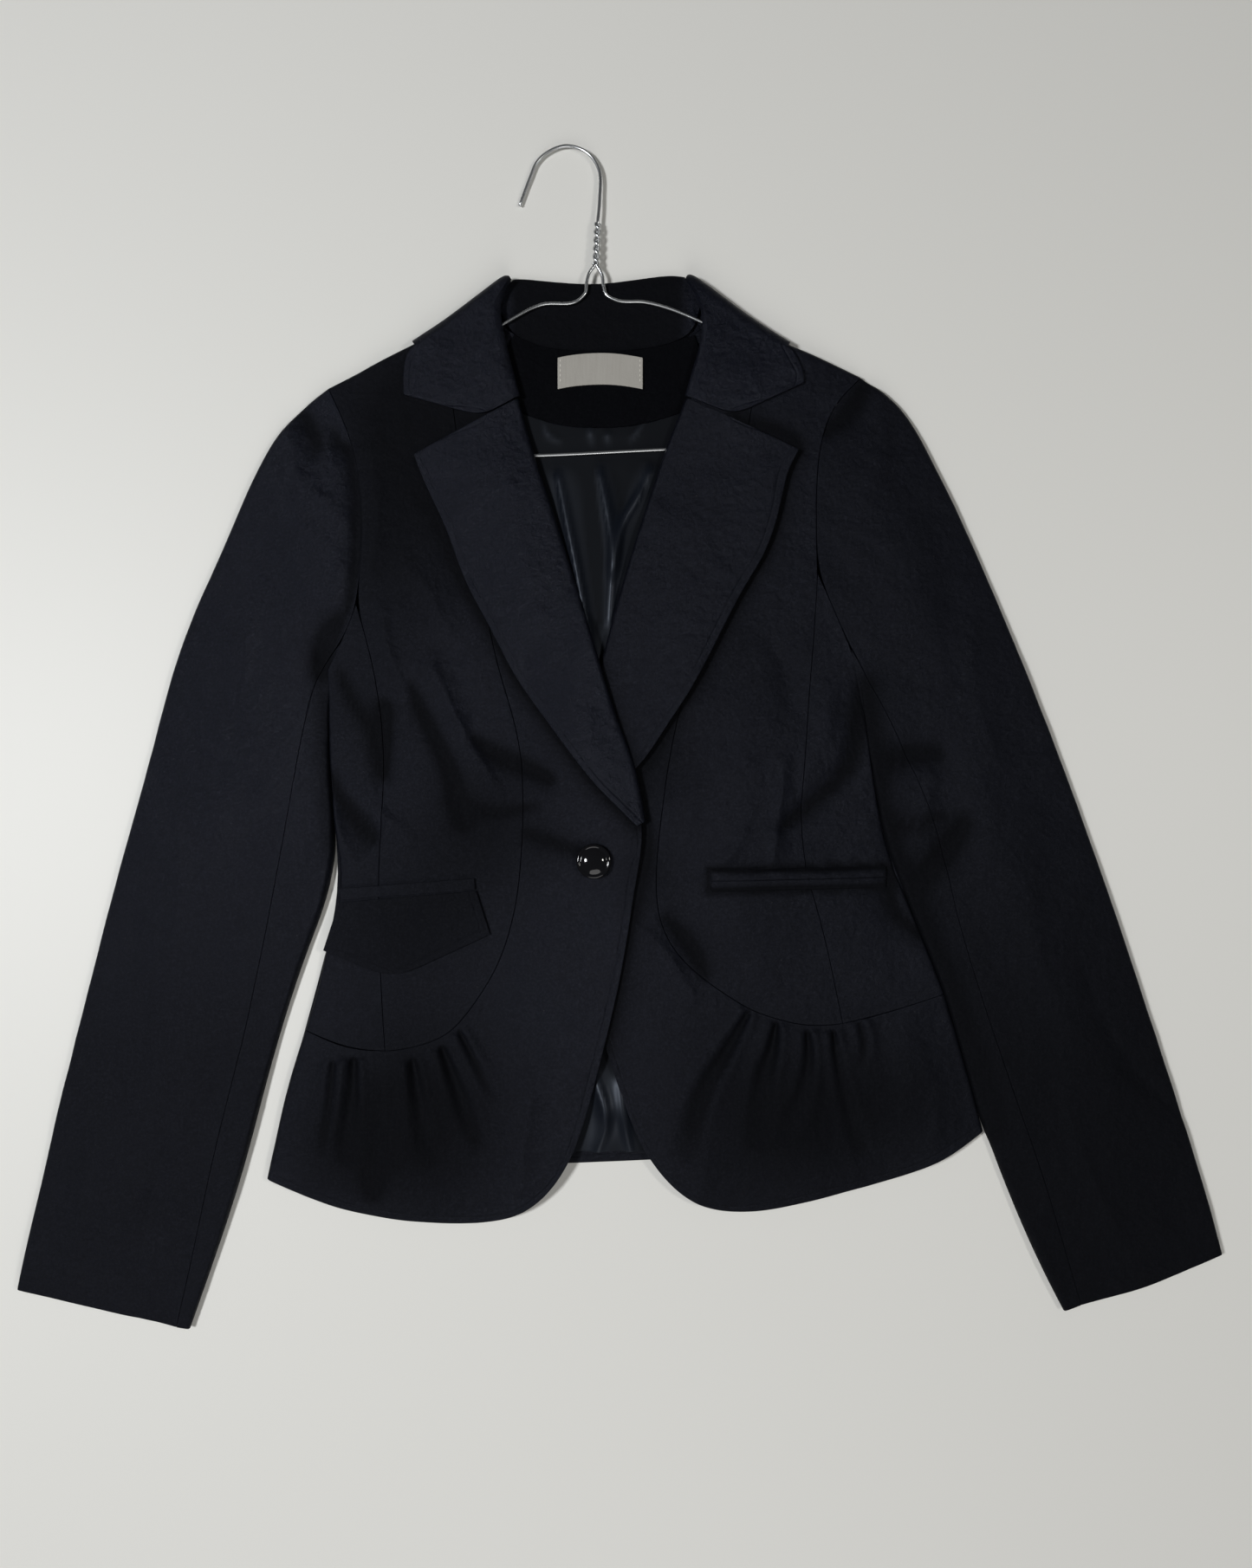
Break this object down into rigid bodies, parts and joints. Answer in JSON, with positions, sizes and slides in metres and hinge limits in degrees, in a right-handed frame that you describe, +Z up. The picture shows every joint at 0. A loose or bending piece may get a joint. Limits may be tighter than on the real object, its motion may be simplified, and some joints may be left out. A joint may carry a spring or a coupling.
{
  "type": "blazer on a wire hanger",
  "caption": "Cropped single-breasted blazer with notched lapels and a pleated peplum, lying flat on its back on a bent wire hanger.",
  "frame": {"origin": "on the surface that the garment lies on, under the centre back at the waist", "axes": "+Z up from the surface, +Y towards the collar and hook, +X towards the wearer's left sleeve"},
  "size_m": [0.796, 0.7829, 0.0194],
  "materials": {
    "suiting": "black fine-weave cotton with a faint sheen",
    "lining": "blue-black satin",
    "label": "plain woven off-white",
    "button": "polished black",
    "hanger_wire": "bright galvanised wire"
  },
  "bodies": {
    "root": {"back": "suiting", "back_neck_facing": "suiting", "back_lining": "lining", "neck_label": "label", "right_front_centre": "suiting", "right_front_middle": "suiting", "right_front_side": "suiting", "left_front_centre": "suiting", "left_front_middle": "suiting", "left_front_side": "suiting", "right_lapel": "suiting", "left_lapel": "suiting", "collar": "suiting", "right_sleeve_top": "suiting", "right_sleeve_under": "suiting", "left_sleeve_top": "suiting", "left_sleeve_under": "suiting", "right_pocket_welt": "suiting", "right_pocket_flap": "suiting", "left_pocket_welt_upper": "suiting", "left_pocket_welt_lower": "suiting", "button": "button", "hanger": "hanger_wire"}
  },
  "joints": []
}
